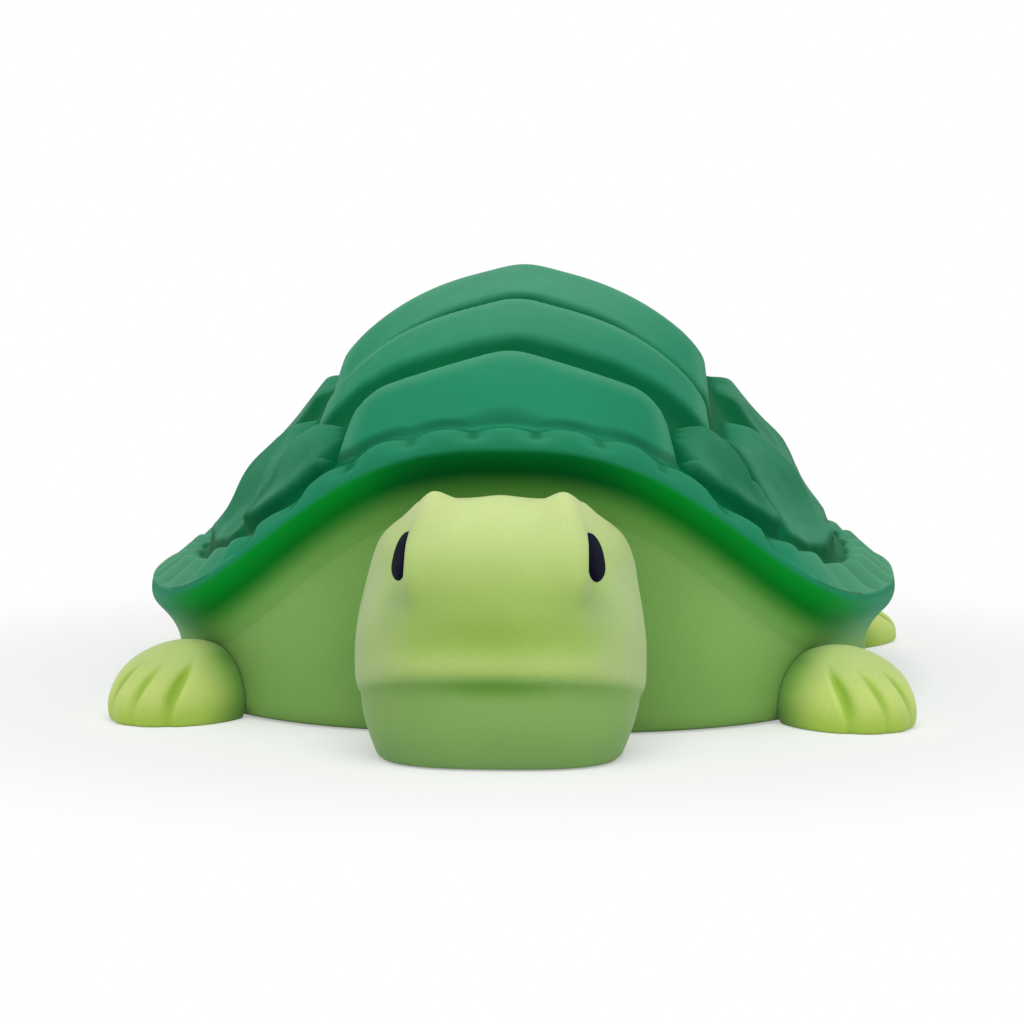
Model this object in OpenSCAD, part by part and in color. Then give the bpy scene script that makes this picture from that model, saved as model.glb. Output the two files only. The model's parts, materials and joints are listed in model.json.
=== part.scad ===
// Squeezable toy turtle: a soft tub of a body, a foam core inside it, a shell cap that sinks on the core,
// a head on a soft neck, two set-in eyes, four feet and a tail.
// Millimetres. The belly stands on z = 0, the face looks along -Y, and the turtle's left side is +X.

/* [Shell] */
// Width across the flared rim
shell_w = 103; // [96:1:110]
// Length from the front rim to the rear rim
shell_l = 100; // [94:1:106]
// Place of the middle of the shell behind the origin
shell_mid_y = 7; // [4:0.5:10]
// Height of the top of the shell above the floor
shell_top = 56.4; // [54:0.2:64]
// How far the dome's rear half stands above its front half
dome_lean = 4.8; // [0:0.2:6]
// Height of the rim's upper edge at the middle of the front arch
arch_front_z = 38; // [35:0.2:40]
// Height of the rim's upper edge at the widest places
rim_side_z = 14.5; // [13:0.5:17]
// Rise of the rim above the tail
arch_rear_rise = 3; // [0:0.5:6]
// Thickness of the rim's edge
rim_t = 3.2; // [2.6:0.2:4.2]
// Width of the rim's underside, from its edge to the inside
lip_w = 4; // [3:0.5:6]
// Wall of the shell at its top
shell_wall = 3.4; // [2.5:0.1:5]

/* [Scutes] */
// Depth of the grooves between the scutes
groove_depth = 1.5; // [0.5:0.1:2]
// Width of the slope at a scute's front edge
front_slope_w = 6; // [3:0.2:8]
// Width of the slope at a scute's rear edge and sides
rear_slope_w = 3.2; // [2:0.2:6]
// Width of the slope from a side scute down to the marginals
low_slope_w = 5.5; // [3:0.5:10]
// Rise of a scute towards its rear edge
scute_rise = 1.5; // [0:0.1:2]
// Rise of the keel along the middle of the shell
keel_rise = 0.8; // [0:0.1:2]
// Width of the keel
keel_w = 8; // [4:0.5:16]
// Rise of the ridge on a side scute
ridge_rise = 2.6; // [0:0.1:3]
// Width of the ridge on a side scute
ridge_w = 10; // [6:0.5:16]
// Marginal scutes around the rim
marginal_count = 40; // [20:4:40]
// Rise of the marginal scutes at the sides
marginal_rise = 1.7; // [0:0.1:2.5]
// Depth of the grooves between the marginal scutes
marginal_groove = 0.9; // [0.2:0.1:1.5]

/* [Squeeze] */
// How far the shell sinks when it is pressed
press_travel = 3; // [2:0.5:4]
// Gap between pieces that move past each other
run_gap = 0.4; // [0.3:0.1:0.6]

/* [Body] */
// Distance from the rim's widest place to the body's side
body_side_in = 3.5; // [2.5:0.5:5]
// Distance from the rim's front edge to the body's front
body_end_in = 2.5; // [1.5:0.5:4]
// Thickness of the belly
belly_t = 4; // [3:0.5:6]
// Rounding of the belly's edge
belly_round = 3; // [1:0.5:5]

/* [Head] */
// Width of the head at the cheeks
head_w = 36.2; // [31:0.2:38]
// Height of the head without the brows
head_h = 31.8; // [29:0.2:33]
// Distance from the head's back to the snout
head_l = 21; // [18:0.5:23]
// Gap between the head's back and the shell's front rim
head_back_gap = 1; // [1:0.5:3]
// Rise of each brow above the crown
brow_rise = 2; // [0.5:0.1:3]
// Distance between the brows
brow_span = 16.6; // [14:0.2:18]
// Rise of the ridge that runs from each brow down beside the eye
brow_ridge = 0.8; // [0:0.1:1.5]
// Depth of the hollow around each eye
eye_hollow = 1.1; // [0.3:0.1:2]
// Height of the mouth above the floor
mouth_z = 11.6; // [9:0.2:13]
// How far the mouth line falls for each millimetre back from the snout
mouth_fall = 0.26; // [0:0.02:0.4]
// Gap between the neck and the shell's rim when it is pressed
neck_gap = 2.8; // [1:0.2:4]
// Half width of the neck
neck_half_w = 14; // [10:0.5:15]
// Width, height and thickness of an eye
eye_size = [4, 6.6, 1.8]; // [1:0.1:8]
// Height of the eyes above the floor
eye_z = 25.2; // [22:0.2:27]
// Distance between the middles of the eyes
eye_span = 23.5; // [21:0.1:26]
// How deep the middle of an eye lies under the flat of the face
eye_in = 0.8; // [0.2:0.1:1.5]

/* [Feet and tail] */
// How far the middle of a foot lies outside the body's wall
foot_out = 4.1; // [2:0.1:6]
// Direction from the shell's middle to a front foot
front_foot_place = -38.7; // [-50:0.1:-30]
// Half length, half width and height of a front foot
front_foot_size = [10.4, 9.2, 10.6]; // [5:0.1:15]
// Direction that a front foot points in
front_foot_turn = -45; // [-70:1:-20]
// Direction from the shell's middle to a rear foot
rear_foot_place = 36.4; // [25:0.1:50]
// Half length, half width and height of a rear foot
rear_foot_size = [12, 7.8, 6.8]; // [4:0.1:16]
// Direction that a rear foot points in
rear_foot_turn = 40; // [10:1:70]
// How far the top of a foot leans back towards the body
foot_lean = 2.4; // [0:0.1:4]
// Directions of the grooves between the toes, from the way that the foot points
toe_turns = [-37, -7, 20]; // [-60:1:60]
// Depth of the toe grooves
toe_depth = 0.9; // [0.3:0.1:1.5]
// Length of the tail behind the shell
tail_l = 7.5; // [3:0.5:12]
// Radius of the tail at its root
tail_r = 4.6; // [2:0.1:5]

/* [Hidden] */

shell_half_w = shell_w / 2;
shell_half_l = shell_l / 2;
shell_power = 2.4;
front_rim_y = shell_mid_y - shell_half_l;
inner_half_w = shell_half_w - lip_w;
inner_half_l = shell_half_l - lip_w;
inner_top = shell_top - shell_wall;
body_half_w = shell_half_w - body_side_in;
body_half_l = shell_half_l - body_end_in;
press_gap = press_travel + run_gap;

// The neck is a barrel about the hinge line, so it turns in its socket at a steady gap.
neck_top_z = arch_front_z - rim_t - press_travel - neck_gap;
neck_z = 0.54 * neck_top_z;
neck_r = neck_top_z - neck_z;
neck_bulge_r = 40;
head_back_y = front_rim_y - head_back_gap;
neck_y = head_back_y;
head_rear = 0.38 * head_l;
head_front = head_l - head_rear;
head_mid_y = head_back_y - head_rear;
head_half_w = head_w / 2;
head_lift = 0.2;

shell_steps = 3 * marginal_count;
body_steps = 72;
core_steps = 48;
ring_steps = 48;
foot_steps = 32;

function clamp01(t) = max(0, min(1, t));
function ease(from, to, v) = let (t = clamp01((v - from) / (to - from))) t * t * (3 - 2 * t);
function mix(a, b, t) = a + (b - a) * t;
function bump(d, w) = exp(-pow(d / w, 2));
function mean(ring) = let (n = len(ring)) [for (k = [0:2]) [for (p = ring) p[k]] * [for (p = ring) 1 / n]];
function turns(n, start = 0) = [for (i = [0:n - 1]) start + 360 * i / n];

// The shell's columns meet every groove between the marginals.
shell_turns = turns(shell_steps, 180 / shell_steps);
body_turns = turns(body_steps);
core_turns = turns(core_steps);

// A closed solid through rings of equal length. Each ring runs anticlockwise about the way the rings go,
// and each patch between two rings is split along its shorter diagonal.
module loft(rings) {
    n = len(rings[0]);
    m = len(rings);
    points = [for (ring = rings) each ring, mean(rings[0]), mean(rings[m - 1])];
    sides = [for (j = [0:m - 2], i = [0:n - 1])
        let (a = j * n + i, b = j * n + (i + 1) % n, c = b + n, d = a + n,
             across = norm(points[a] - points[c]) - norm(points[b] - points[d]))
        each across < 0.001 ? [[c, b, a], [d, c, a]] : [[d, b, a], [d, c, b]]];
    first_cap = [for (i = [0:n - 1]) [m * n, i, (i + 1) % n]];
    last_cap = [for (i = [0:n - 1]) [m * n + 1, (m - 1) * n + (i + 1) % n, (m - 1) * n + i]];
    polyhedron(points, concat(sides, first_cap, last_cap), convexity = 6);
}

// Rounded plan shared by the shell and the body: 1 on the rim, 0 at the middle.
function plan_reach(turn, power) =
    pow(pow(abs(cos(turn)), power) + pow(abs(sin(turn)), power), -1 / power);
function plan_at(turn, share, half_w, half_l) =
    let (reach = share * plan_reach(turn, shell_power))
    [half_w * reach * cos(turn), shell_mid_y + half_l * reach * sin(turn)];
function plan_place(x, y) =
    let (u = x / shell_half_w, v = (y - shell_mid_y) / shell_half_l, turn = atan2(v, u))
    [turn, norm([u, v]) / plan_reach(turn, shell_power)];
function facing_front(turn) = max(0, -sin(turn));
function facing_rear(turn) = max(0, sin(turn));

// Where the body's shoulder runs beside the inside of the shell.
shoulder_shares = [0.88, 0.94, 0.985];

// Height of the rim, which arches over the head and a little over the tail.
arch_power = 2.6;
arch_flare = 2.4;
function rim_z(turn) =
    let (side = abs(cos(turn)) * plan_reach(turn, shell_power),
         rise = sin(turn) < 0 ? arch_front_z - rim_side_z : arch_rear_rise)
    rim_side_z + rise * pow(1 - pow(min(side, 1), arch_power), arch_flare);

// Dome from a low edge to a top: steep over the head, flared like a bell at the sides, higher behind.
// The powers are those at the sides, in front and behind. It grows steep where it faces forward by
// more than the start.
steep_start = 0.35;
crown_powers = [2.4, 2, 2.2];
flare_powers = [1.75, 0.6, 1.1];
function dome_power(powers, front, rear) =
    powers[0] + (powers[1] - powers[0]) * front + (powers[2] - powers[0]) * rear;
function dome(turn, share, low, top) =
    let (front = ease(steep_start, 1, facing_front(turn)), rear = pow(facing_rear(turn), 2),
         power = dome_power(crown_powers, front, rear), steep = dome_power(flare_powers, front, rear),
         along = share * plan_reach(turn, shell_power) * sin(turn))
    low + (top - low) * pow(1 - pow(share, power), steep) + dome_lean * along * (1 - share * share);
function dome_z(x, y) =
    let (place = plan_place(x, y)) dome(place[0], min(1, place[1]), rim_z(place[0]), shell_top);

// Inside of the shell, which the body and the core follow at their gaps.
function inner_z(turn, share) = dome(turn, share, rim_z(turn) - rim_t, inner_top);

// Scutes along the middle: seams, half widths at the rear edge and how fast these grow towards the front.
middle_seams = [for (v = [-0.985, -0.708, -0.35, 0.06, 0.46, 0.86]) v * shell_half_l];
middle_half_ws = [for (u = [0.4, 0.5, 0.5, 0.45, 0.33]) u * shell_half_w];
middle_tapers = [0.32, 0.12, 0.1, 0.1, 0.1];
seam_wave = 0.044 * shell_half_l;
seam_wave_l = 0.47 * shell_half_w;
// Scutes on the sides: seams that fan out, and on each scute a ridge from its front to a knob.
fan_y = -0.14 * shell_half_l;
side_seams = [-90, -33, 3, 39, 90];
ridges = [for (r = [[0.388, -0.92, 0.621, -0.58], [0.575, -0.6, 0.718, -0.18], [0.68, -0.06, 0.68, 0.32],
                    [0.563, 0.48, 0.369, 0.74]])
    [[r[0] * shell_half_w, r[1] * shell_half_l], [r[2] * shell_half_w, r[3] * shell_half_l]]];
// How much longer a step up the steep front is than its plan
front_stretch = 2.4;

function seam_index(seams, v) = max(0, min(len(seams) - 2, len([for (s = seams) if (s <= v) s]) - 1));
// Where the marginals end: at the sides, how much farther out in front, and again in the middle of the front
marginal_side = 0.87;
marginal_front = 0.085;
marginal_middle = 0.032;
function marginal_share(turn) =
    let (front = facing_front(turn))
    marginal_side + marginal_front * ease(0.45, 0.95, front) + marginal_middle * pow(front, 8);
function padded(pad, depth, top) = (pad - 1) * depth + pad * top;

function middle_side(x, y) =
    let (wave = seam_wave * pow(sin(180 * min(x, seam_wave_l) / seam_wave_l), 2),
         k = seam_index(middle_seams, y + wave), rear = middle_seams[k + 1] - y - wave)
    [middle_half_ws[k] + middle_tapers[k] * rear - x, y + wave - middle_seams[k], rear, k];
function middle_relief(x, side, front, rear, k, to_ring) =
    let (along = clamp01(front / (front + rear)),
         pad = ease(0, k == 0 ? rear_slope_w : front_slope_w, front) * ease(0, rear_slope_w, rear)
             * ease(0, 1.5 * rear_slope_w, side) * ease(0, rear_slope_w, to_ring),
         keel = keel_rise * bump(x, keel_w / 2) * (0.4 + 0.6 * along))
    padded(pad, groove_depth, scute_rise * pow(along, 1.3) + keel);

function ridge_height(x, y, ridge) =
    let (run = ridge[1] - ridge[0], from = [x, y] - ridge[0], along = clamp01(from * run / (run * run)))
    ridge_rise * bump(norm(from - along * run), ridge_w / 2) * (0.35 + 0.65 * along * along);
function side_relief(x, y, side, to_ring) =
    let (far = norm([x, y - fan_y]), angle = atan2(y - fan_y, x), k = seam_index(side_seams, angle),
         front = far * sin(min(90, angle - side_seams[k])),
         rear = far * sin(min(90, side_seams[k + 1] - angle)),
         along = clamp01(front / max(0.01, front + rear)),
         pad = ease(0, k == 0 ? rear_slope_w : front_slope_w, front) * ease(0, rear_slope_w, rear)
             * ease(0, 1.5 * rear_slope_w, -side) * ease(0, low_slope_w, to_ring))
    padded(pad, groove_depth, scute_rise * pow(along, 1.3) + ridge_height(x, y, ridges[k]));

function marginal_relief(turn, share, to_ring) =
    let (step = 360 / marginal_count, off = abs((turn + 450 + step / 2) % step - step / 2) / step,
         pad = ease(0, rear_slope_w, -to_ring) * mix(1, ease(0.5, 0.2, off), ease(1, 0.95, share)),
         at_side = 1 - ease(0.3, 0.8, facing_front(turn)))
    padded(pad, marginal_groove, marginal_rise * at_side * ease(1.02, 0.93, share));

function relief(turn, share) =
    let (at = plan_at(turn, share, shell_half_w, shell_half_l), x = abs(at[0]), y = at[1] - shell_mid_y,
         stretch = 1 + front_stretch * pow(facing_front(turn), 2),
         to_ring = (marginal_share(turn) - share) * shell_half_w * plan_reach(turn, shell_power) * stretch,
         middle = middle_side(x, y))
    to_ring < 0 ? marginal_relief(turn, share, to_ring)
        : middle[0] > 0 ? middle_relief(x, middle[0], middle[1], middle[2], middle[3], to_ring)
        : side_relief(x, y, middle[0], to_ring);

function dome_normal(x, y) =
    let (e = 0.2, slope = [dome_z(x + e, y) - dome_z(x - e, y), dome_z(x, y + e) - dome_z(x, y - e)] / (2 * e),
         long = norm([slope[0], slope[1], 1]))
    [-slope[0], -slope[1], 1] / long;
function shell_point(turn, share) =
    let (at = plan_at(turn, share, shell_half_w, shell_half_l))
    [at[0], at[1], dome_z(at[0], at[1])] + relief(turn, share) * dome_normal(at[0] * 0.99, at[1] * 0.99);
function shell_ring(share) = [for (t = shell_turns) shell_point(t, share)];

// A ring of the rim's edge, drawn in from the plan and dropped from the rim's upper edge.
function edge_ring(in, drop) = [for (t = shell_turns)
    let (at = plan_at(t, 1, shell_half_w - in, shell_half_l - in)) [at[0], at[1], rim_z(t) - drop]];
function inner_ring(ring_turns, share, drop, in) = [for (t = ring_turns)
    let (at = plan_at(t, share, inner_half_w - in, inner_half_l - in))
    [at[0], at[1], inner_z(t, share) - drop]];

edge_tuck = 0.8;
edge_bulge = 0.3;
module shell() {
    rows = 25;
    inner_shares = concat([for (k = [1:10]) 0.08 * k], shoulder_shares, [1]);
    outer_shares = [for (k = [0:rows - 1]) 1 - pow((k + 0.5) / rows, 1.25)];
    color("seagreen") loft(concat(
        [for (s = inner_shares) inner_ring(shell_turns, s, 0, 0)],
        [edge_ring(edge_tuck, rim_t), edge_ring(0, 0.72 * rim_t), edge_ring(-edge_bulge, 0.35 * rim_t)],
        [for (s = outer_shares) shell_ring(s)]));
}

// Body: a thick soft tub. It bulges below the pressed rim and tucks in under the lip above it.
body_tuck = 0.8;
function pressed_lip_z(turn) = rim_z(turn) - rim_t - press_gap;
function body_ring(grow, height_share, lift) = [for (t = body_turns)
    let (at = plan_at(t, 1, body_half_w + grow, body_half_l + grow))
    [at[0], at[1], height_share * pressed_lip_z(t) + lift]];

function body_rings() = concat(
    [body_ring(-0.5 * body_half_w, 0, 0), body_ring(-belly_round, 0, 0),
     body_ring(-0.3 * belly_round, 0, 0.35 * belly_round), body_ring(0, 0.45, 0), body_ring(0, 0.75, 0),
     body_ring(-body_tuck, 0.93, 0)],
    [for (k = [2:-1:0]) inner_ring(body_turns, shoulder_shares[k], press_gap, run_gap)]);

cavity_share = 0.78;
cavity_low_share = 0.74;
cavity_floor_in = 0.06;
core_in = 0.02;
function level_ring(ring_turns, share, z) = [for (t = ring_turns)
    let (at = plan_at(t, share, inner_half_w, inner_half_l)) [at[0], at[1], z]];
function cavity_top_ring() = [for (t = body_turns)
    let (at = plan_at(t, cavity_share, inner_half_w, inner_half_l))
    [at[0], at[1], inner_z(t, shoulder_shares[0]) - press_gap]];

module body_outside() {
    loft(concat(body_rings(), [inner_ring(body_turns, 0.5, press_gap, run_gap)]));
}
module body() {
    color("yellowgreen") difference() {
        loft(concat(body_rings(),
            [cavity_top_ring(), level_ring(body_turns, cavity_low_share, belly_t + belly_round),
             level_ring(body_turns, cavity_low_share - cavity_floor_in, belly_t),
             level_ring(body_turns, 0.3, belly_t)]));
        neck_barrel(run_gap);
    }
}

// Foam core: fills the tub and carries the shell. Pressed flat, it keeps the same gap to the sunk shell.
core_gap = 0.5;
core_h = inner_top - core_gap - belly_t;
function core_z(turn, share) =
    belly_t + (inner_z(turn, share) - press_travel - core_gap - belly_t) / (1 - press_travel / core_h);
function core_ring(share) = [for (t = core_turns)
    let (at = plan_at(t, share, inner_half_w, inner_half_l)) [at[0], at[1], core_z(t, share)]];
module foam_core() {
    wall_share = cavity_low_share - core_in;
    color("lightyellow") loft(concat(
        [level_ring(core_turns, wall_share - cavity_floor_in, belly_t),
         level_ring(core_turns, wall_share, belly_t + belly_round)],
        [for (s = [wall_share, 0.6, 0.48, 0.36, 0.24, 0.1]) core_ring(s)]));
}

// Neck barrel about the hinge line.
module neck_barrel(grow) {
    translate([0, neck_y, neck_z]) rotate([0, 90, 0])
        rotate_extrude($fn = 64) intersection() {
            translate([neck_r + grow - neck_bulge_r, 0]) circle(r = neck_bulge_r, $fn = 128);
            translate([0, -neck_half_w - grow]) square([neck_r + grow, 2 * (neck_half_w + grow)]);
        }
}

// Head: level rings from the chin to the crown. Each row gives the height, front, slanting side, side and back
// as shares of the head's own height, reach in front, half width and reach behind.
head_rows = [
    [0.000, 0.869, 0.796, 0.796, 0.875], [0.016, 0.923, 0.840, 0.834, 1], [0.063, 0.938, 0.862, 0.878, 1],
    [0.157, 0.938, 0.878, 0.928, 1], [0.252, 0.931, 0.890, 0.956, 1], [0.343, 0.908, 0.895, 0.972, 1],
    [0.362, 0.975, 0.906, 0.983, 1], [0.387, 1.000, 0.912, 0.994, 1], [0.425, 0.988, 0.912, 1.000, 1],
    [0.487, 0.931, 0.895, 1.000, 1], [0.613, 0.885, 0.851, 0.978, 1], [0.723, 0.815, 0.785, 0.934, 1],
    [0.818, 0.715, 0.713, 0.878, 1], [0.887, 0.577, 0.641, 0.801, 0.975], [0.943, 0.415, 0.564, 0.713, 0.9],
    [0.981, 0.246, 0.475, 0.624, 0.8], [0.995, 0.130, 0.250, 0.330, 0.45]];
slant_turn = 60;
round_power = 2.7;
flat_power = 11;
// The face's small forms scale with this part of the head's width.
face_unit = head_w / 36;

function norm_of(parts, power) = pow([for (p = parts) pow(p, power)] * [for (p = parts) 1], 1 / power);
function head_reach(turn, row) =
    let (ahead = max(0, -sin(turn)), behind = max(0, sin(turn)), aside = abs(cos(turn)),
         slanting = max(0, -sin(turn) * cos(slant_turn) + aside * sin(slant_turn)),
         front = ahead / (head_front * row[1]), slant = slanting / (head_half_w * row[2]),
         side = aside / (head_half_w * row[3]), back = behind / (head_rear * row[4]),
         rounded = norm_of([front, side, back], round_power),
         flat = norm_of([front, slant, side, back], flat_power))
    1 / mix(rounded, flat, ease(0.47, 0.75, row[0]));

// Ridges that run from the brows down beside the eyes, and the hollows around the eyes.
function face_push(wide, z) =
    let (up = ease(0.66 * head_h, head_h, z), ridge_x = mix(eye_span / 2 - face_unit, brow_span / 2, up))
    brow_ridge * bump(wide - ridge_x, mix(1.6, 2.4, up) * face_unit) * ease(0.6 * head_h, 0.76 * head_h, z)
    - eye_hollow * bump(wide - eye_span / 2 - 1.5 * face_unit, 2 * face_unit)
        * bump(z - eye_z - 0.8 * face_unit, eye_size[1] / 1.5);
function crown_lift(wide, back, z) =
    (brow_rise * bump(wide - brow_span / 2, 3 * face_unit) * bump(back + 3 * face_unit, 3.6 * face_unit)
        - 0.2 * max(0, back - 2.5 * face_unit)) * ease(0.85 * head_h, 0.97 * head_h, z);
function head_ring(row) = [for (t = turns(ring_steps))
    let (reach = head_reach(t, row), level = row[0] * head_h,
         fall = mouth_fall * max(0, reach * sin(t) + head_front),
         z = level - fall * bump(level - mouth_z, mouth_z / 2) * ease(0, mouth_z / 4, level),
         far = reach + face_push(reach * abs(cos(t)), z) * ease(0.2, 0.6, -sin(t)),
         x = far * cos(t), y = far * sin(t))
    [x, head_mid_y + y, z + crown_lift(abs(x), y, z) + head_lift]];

module head() {
    color("darkkhaki") difference() {
        union() {
            loft([for (row = head_rows) head_ring(row)]);
            neck_barrel(0);
        }
        for (side = [-1, 1]) eye_form(side, 0.1);
    }
}

// Eyes: flat ovals let into the slanting sides of the face, behind the brow ridges.
eye_turn = 64;
eye_tilt = 17;
eye_level = (eye_z - head_lift) / head_h;
eye_slant = head_half_w * lookup(eye_level, [for (row = head_rows) [row[0], row[2]]]) - eye_in;
eye_y = head_mid_y - (eye_slant - eye_span / 2 * sin(slant_turn)) / cos(slant_turn);
function eye_ring(tilt, grow) = [for (t = turns(20))
    [(eye_size[0] / 2 + grow) * cos(tilt) * cos(t), (eye_size[1] / 2 + grow) * cos(tilt) * sin(t),
     (eye_size[2] / 2 + grow) * sin(tilt)]];
module eye_form(side, grow) {
    translate([side * eye_span / 2, eye_y, eye_z]) rotate([90 - eye_tilt, 0, side * eye_turn])
        loft([for (tilt = [-75:25:75]) eye_ring(tilt, grow)]);
}
module eye(side) color("midnightblue") eye_form(side, 0);

// Feet: paws whose crowns lean back to the body and stay under the pressed rim, with grooves between the toes,
// bonded to the body where it cuts them. Each row gives the height and reach as shares of the foot's own sizes.
foot_rows = [[0, 0.94], [0.1, 0.99], [0.3, 0.99], [0.5, 0.925], [0.68, 0.8], [0.83, 0.61], [0.94, 0.37],
             [0.99, 0.15]];
toe_groove_w = 8;
rim_room = 1.015;
function toe_cut(turn) = max([for (toe = toe_turns) bump(turn - toe, toe_groove_w)]);
function foot_roof(x, y) =
    let (place = plan_place(x, y))
    pressed_lip_z(place[0]) + shell_half_w * max(0, place[1] - rim_room);
function foot_ring(at, size, turn, row) = [for (t = turns(foot_steps))
    let (deep = toe_depth * toe_cut(t > 180 ? t - 360 : t) * ease(1, 0.75, row[0]) * (0.4 + 0.6 * row[0]),
         along = (size[0] * row[1] - deep) * cos(t) - foot_lean * pow(row[0], 1.5),
         across = (size[1] * row[1] - deep) * sin(t),
         x = at[0] + along * cos(turn) - across * sin(turn), y = at[1] + along * sin(turn) + across * cos(turn))
    [x, y, min(size[2] * row[0], foot_roof(x, y))]];
module foot(place, size, turn, side) {
    at = plan_at(place, 1, body_half_w + foot_out, body_half_l + foot_out);
    color("greenyellow") difference() {
        mirror([side < 0 ? 1 : 0, 0, 0]) loft([for (row = foot_rows) foot_ring(at, size, turn, row)]);
        body_outside();
    }
}

// Tail: a short soft cone behind the body.
tail_lift = 0.3;
tail_root_in = 6;
tail_droop = 2.2;
tail_z = tail_r + tail_lift;
tail_root_y = shell_mid_y + body_half_l - tail_root_in;
tail_tip_y = shell_mid_y + shell_half_l + tail_l;
module tail() {
    color("yellowgreen") difference() {
        loft([for (k = [0:6]) let (along = k / 6, r = tail_r * pow(1 - 0.98 * pow(along, 2.2), 0.7))
            [for (t = turns(24)) [r * cos(t), mix(tail_root_y, tail_tip_y, along),
                                  tail_z - tail_droop * along * along - r * sin(t)]]]);
        body_outside();
    }
}

shell();
body();
foam_core();
head();
eye(1);  // left_eye
eye(-1);  // right_eye
foot(front_foot_place, front_foot_size, front_foot_turn, 1);  // front_left_foot
foot(front_foot_place, front_foot_size, front_foot_turn, -1);  // front_right_foot
foot(rear_foot_place, rear_foot_size, rear_foot_turn, 1);  // rear_left_foot
foot(rear_foot_place, rear_foot_size, rear_foot_turn, -1);  // rear_right_foot
tail();
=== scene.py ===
"""Looks of a soft toy turtle, dressed over its packed construction model.

Lengths here are millimetres, as in the construction model, and every mesh is written in metres.
The belly stands on z = 0, the face looks along -Y and the turtle's left side is +X.
A turn is an angle around the shell's middle, and a share is how far out a point lies towards the rim.
"""
import json

import bmesh
import bpy
import numpy as np
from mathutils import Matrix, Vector


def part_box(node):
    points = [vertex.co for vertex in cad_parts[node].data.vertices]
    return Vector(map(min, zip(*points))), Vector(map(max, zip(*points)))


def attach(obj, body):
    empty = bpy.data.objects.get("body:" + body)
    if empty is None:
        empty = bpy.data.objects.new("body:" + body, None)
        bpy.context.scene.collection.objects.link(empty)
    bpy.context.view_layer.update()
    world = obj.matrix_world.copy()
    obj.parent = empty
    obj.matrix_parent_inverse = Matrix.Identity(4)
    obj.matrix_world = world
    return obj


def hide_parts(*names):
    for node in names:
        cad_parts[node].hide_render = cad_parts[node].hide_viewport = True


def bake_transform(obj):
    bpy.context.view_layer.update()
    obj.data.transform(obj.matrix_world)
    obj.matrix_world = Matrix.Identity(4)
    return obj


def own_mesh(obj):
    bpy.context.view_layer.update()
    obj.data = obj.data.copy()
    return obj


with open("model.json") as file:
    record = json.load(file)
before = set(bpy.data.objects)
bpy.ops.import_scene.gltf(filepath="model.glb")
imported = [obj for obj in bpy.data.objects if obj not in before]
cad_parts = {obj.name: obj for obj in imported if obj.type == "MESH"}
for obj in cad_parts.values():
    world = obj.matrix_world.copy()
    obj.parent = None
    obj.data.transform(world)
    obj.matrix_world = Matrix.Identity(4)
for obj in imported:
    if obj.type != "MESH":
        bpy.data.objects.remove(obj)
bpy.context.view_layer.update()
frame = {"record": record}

MM = 0.001
# Keeps values away from zero
TINY = 1e-6


def node_box(name):
    """Lowest and highest corner of a construction node, in millimetres."""
    low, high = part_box(name)
    return np.array(low) / MM, np.array(high) / MM


joints = {joint["name"]: joint for joint in frame["record"]["behaviour"]["joints"]}
shell_low, shell_high = node_box("shell")
body_low, body_high = node_box("body")
core_low, core_high = node_box("foam_core")
head_low = node_box("head")[0]
tail_low, tail_high = node_box("tail")

# Squeeze
press_travel = joints["shell_press"]["range_m"][1] / MM
run_gap = 0.4
press_gap = press_travel + run_gap

# Shell, whose plan is a rounded square with this power
shell_half = (shell_high - shell_low) / 2
shell_mid_y = (shell_high[1] + shell_low[1]) / 2
shell_power = 2.4
shell_top = 56.4
shell_wall = 3.4
lip_w = 4.0
wall_columns = 440

# Rim, which arches over the head
rim_t = 3.2
rim_edge_t = 2.4
rim_edge_round = 0.7
rim_side_z = shell_low[2] + rim_t
arch_front_z = 38.0
arch_rear_rise = 3.0
arch_shoulder, arch_roundness = 2.6, 2.4

# Dome: its bell curve at the sides, and what is added to it in front and behind
dome_lean = 4.8
dome_front_from = 0.35
bell_power = (2.4, -0.4, -0.2)
bell_steepness = (1.75, -1.15, -0.65)

# Soft underside of the rim: how far below the rim's upper edge it runs out on the body's wall
skirt_run_out = 1.8
skirt_drop = rim_t + press_gap + skirt_run_out
skirt_tip_t = 0.006
skin_gap = 0.012

# Scutes: five along the middle, four on each side and a ring of marginals
groove_depth = 1.7
front_shoulders = np.array([2.2, 6.0, 6.0, 6.0, 6.0])
rear_shoulder = 2.8
side_shoulder = 2.4
plate_corner = 6.0
plate_rise = 1.5
plate_rise_power = 1.3

# Scutes along the middle, with wavy seams and a keel
middle_seams = shell_mid_y + shell_half[1] * np.array([-0.985, -0.708, -0.35, 0.06, 0.46, 0.86])
middle_half_ws = np.array([20.5, 26.6, 26.4, 23.0, 17.0])
middle_tapers = np.array([0.32, 0.12, 0.1, 0.1, 0.1])
seam_wave = 2.2
seam_wave_length = 24.0
keel_rise = 0.8
keel_w = 4.0
keel_start = 0.4

# Scutes on the sides: each has a ridge that rises, with a power, from its front to a knob at its outer rear
costal_seams = np.radians([-90, -35.5, 1, 38, 90])
costal_low_corner = 3.0
costal_rise = 2.2
costal_ridge_w = 3.4
costal_ridges = (((20, -39), (31, -24.5), 0.7), ((29.6, -21), (36.2, -4), 2.5),
                 ((34.5, 4), (34.5, 23), 2.5), ((28.5, 31), (18.5, 44), 2.5))
first_flank_w = 7.0
# A hollow along the foot of the side scutes: the share of their rise that it takes away, how far above the
# marginals it lies, and its width
low_hollow, low_hollow_at, low_hollow_w = 0.8, 8.5, 4.5

# Marginals
marginal_count = 40
marginal_step = 2 * np.pi / marginal_count
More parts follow.
